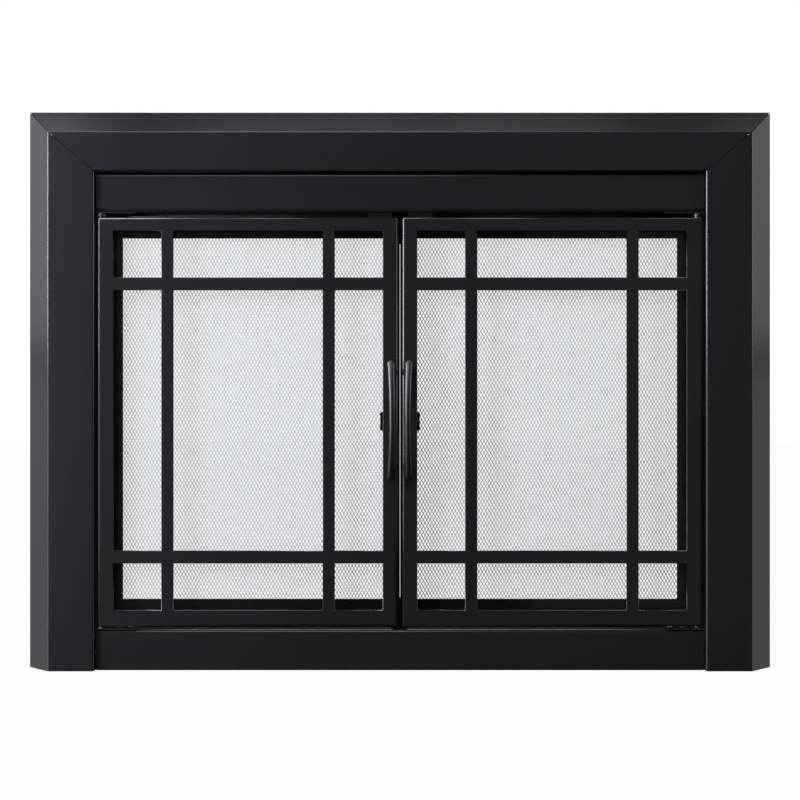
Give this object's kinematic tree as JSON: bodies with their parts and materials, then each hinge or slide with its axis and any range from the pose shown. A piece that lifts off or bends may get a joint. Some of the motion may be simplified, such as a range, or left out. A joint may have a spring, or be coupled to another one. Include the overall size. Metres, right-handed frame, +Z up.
{
  "type": "fireplace glass door",
  "caption": "Fireplace glass door: a black bevelled sheet-steel surround with windowpane glass doors, mesh doors behind them on the same hinge pins, a header and a bottom panel.",
  "frame": {"origin": "on the hearth, in the wall's plane, below the line where the doors meet", "axes": "+X to the right seen from the room, +Y into the fireplace, +Z up"},
  "size_m": [1.105, 0.1919, 0.828],
  "materials": {
    "black_powder_coat": "satin",
    "cast_handle": "satin",
    "zinc_steel": "satin",
    "tempered_glass": "gloss",
    "gasket_tape": "matte",
    "expanded_mesh": "satin",
    "catch_plastic": "matte",
    "magnet": "matte",
    "insulation": "matte"
  },
  "bodies": {
    "frame": {"surround_top": "black_powder_coat", "surround_left": "black_powder_coat", "surround_right": "black_powder_coat", "corner_gusset_left": "zinc_steel", "corner_gusset_right": "zinc_steel", "top_channel": "black_powder_coat", "side_channel_left": "black_powder_coat", "side_channel_right": "black_powder_coat", "surround_studs": "zinc_steel", "frame_nuts": "zinc_steel", "header_panel": "black_powder_coat", "bottom_panel": "black_powder_coat", "frame_screws": "zinc_steel", "panel_spacers": "zinc_steel", "hinge_brackets_left": "black_powder_coat", "hinge_brackets_right": "black_powder_coat", "pivot_bushes": "zinc_steel", "bracket_screws": "zinc_steel", "stop_brackets": "black_powder_coat", "catch_housings": "catch_plastic", "catch_magnets": "magnet", "catch_screws": "zinc_steel", "lintel_clamp_left": "black_powder_coat", "lintel_clamp_right": "black_powder_coat", "clamp_bolts": "zinc_steel", "clamp_slide_bolts": "zinc_steel", "floor_bracket_left": "black_powder_coat", "floor_bracket_right": "black_powder_coat", "insulation_strips": "insulation"},
    "left_glass_door": {"left_door_frame": "black_powder_coat", "left_glass": "tempered_glass", "left_gasket": "gasket_tape", "left_glass_clips": "zinc_steel", "left_clip_screws": "zinc_steel", "left_pivot_blocks": "zinc_steel", "left_pivot_pins": "zinc_steel", "left_handle": "cast_handle", "left_handle_screws": "zinc_steel"},
    "right_glass_door": {"right_door_frame": "black_powder_coat", "right_glass": "tempered_glass", "right_gasket": "gasket_tape", "right_glass_clips": "zinc_steel", "right_clip_screws": "zinc_steel", "right_pivot_blocks": "zinc_steel", "right_pivot_pins": "zinc_steel", "right_handle": "cast_handle", "right_handle_screws": "zinc_steel"},
    "left_mesh_door": {"left_mesh_frame": "black_powder_coat", "left_mesh": "expanded_mesh", "left_mesh_retainer": "black_powder_coat", "left_hinge_straps": "zinc_steel", "left_mesh_pull": "cast_handle", "left_mesh_rivets": "zinc_steel"},
    "right_mesh_door": {"right_mesh_frame": "black_powder_coat", "right_mesh": "expanded_mesh", "right_mesh_retainer": "black_powder_coat", "right_hinge_straps": "zinc_steel", "right_mesh_pull": "cast_handle", "right_mesh_rivets": "zinc_steel"}
  },
  "joints": [
    {"name": "left_glass_swing", "type": "hinge", "parent": "frame", "child": "left_glass_door", "pos_m": [-0.44, -0.039, 0.3665], "axis": [0, 0, -1], "range_deg": [0, 100]},
    {"name": "right_glass_swing", "type": "hinge", "parent": "frame", "child": "right_glass_door", "pos_m": [0.44, -0.039, 0.3665], "axis": [0, 0, 1], "range_deg": [0, 100]},
    {"name": "left_mesh_swing", "type": "hinge", "parent": "left_glass_door", "child": "left_mesh_door", "pos_m": [-0.44, -0.039, 0.3665], "axis": [0, 0, 1], "range_deg": [0, 90]},
    {"name": "right_mesh_swing", "type": "hinge", "parent": "right_glass_door", "child": "right_mesh_door", "pos_m": [0.44, -0.039, 0.3665], "axis": [0, 0, -1], "range_deg": [0, 90]}
  ]
}
